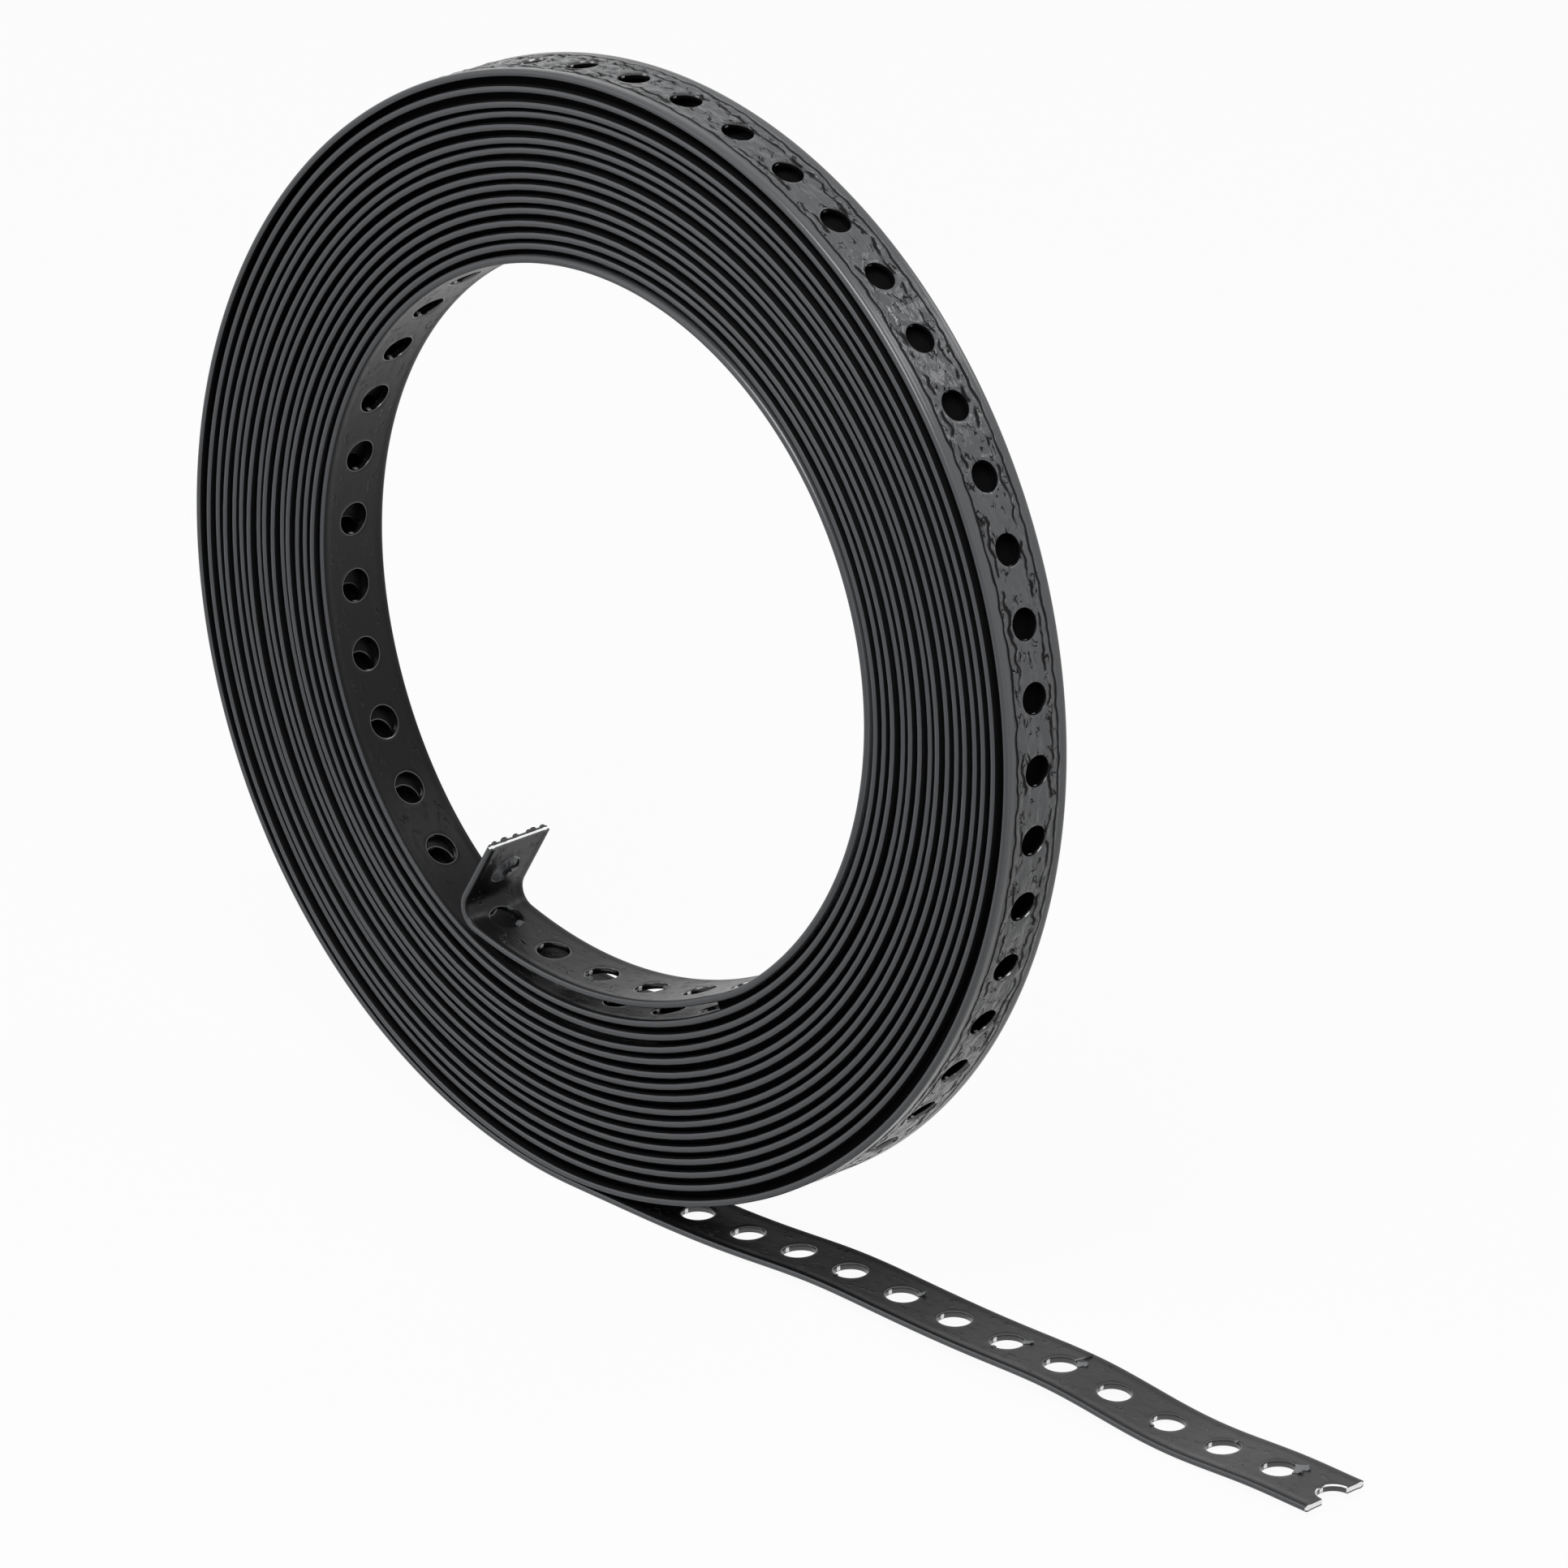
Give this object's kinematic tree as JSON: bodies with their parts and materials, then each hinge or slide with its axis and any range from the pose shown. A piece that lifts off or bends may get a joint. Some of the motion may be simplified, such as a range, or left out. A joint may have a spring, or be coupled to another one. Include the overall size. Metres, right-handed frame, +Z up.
{
  "type": "perforated steel strap coil",
  "caption": "coil of plastic-coated perforated steel strap standing on its rim, with a free tail along the floor and a bent inner end",
  "frame": {"origin": "the middle of the whole length and width, on the floor", "axes": "+X runs along the tail from the coil to its cut end, +Y along the coil's axis to its far side, +Z up"},
  "size_m": [0.3274, 0.017, 0.2444],
  "materials": {
    "coat": "satin black plastic coat on steel strap"
  },
  "bodies": {
    "root": {"strap": "coat"}
  },
  "joints": []
}
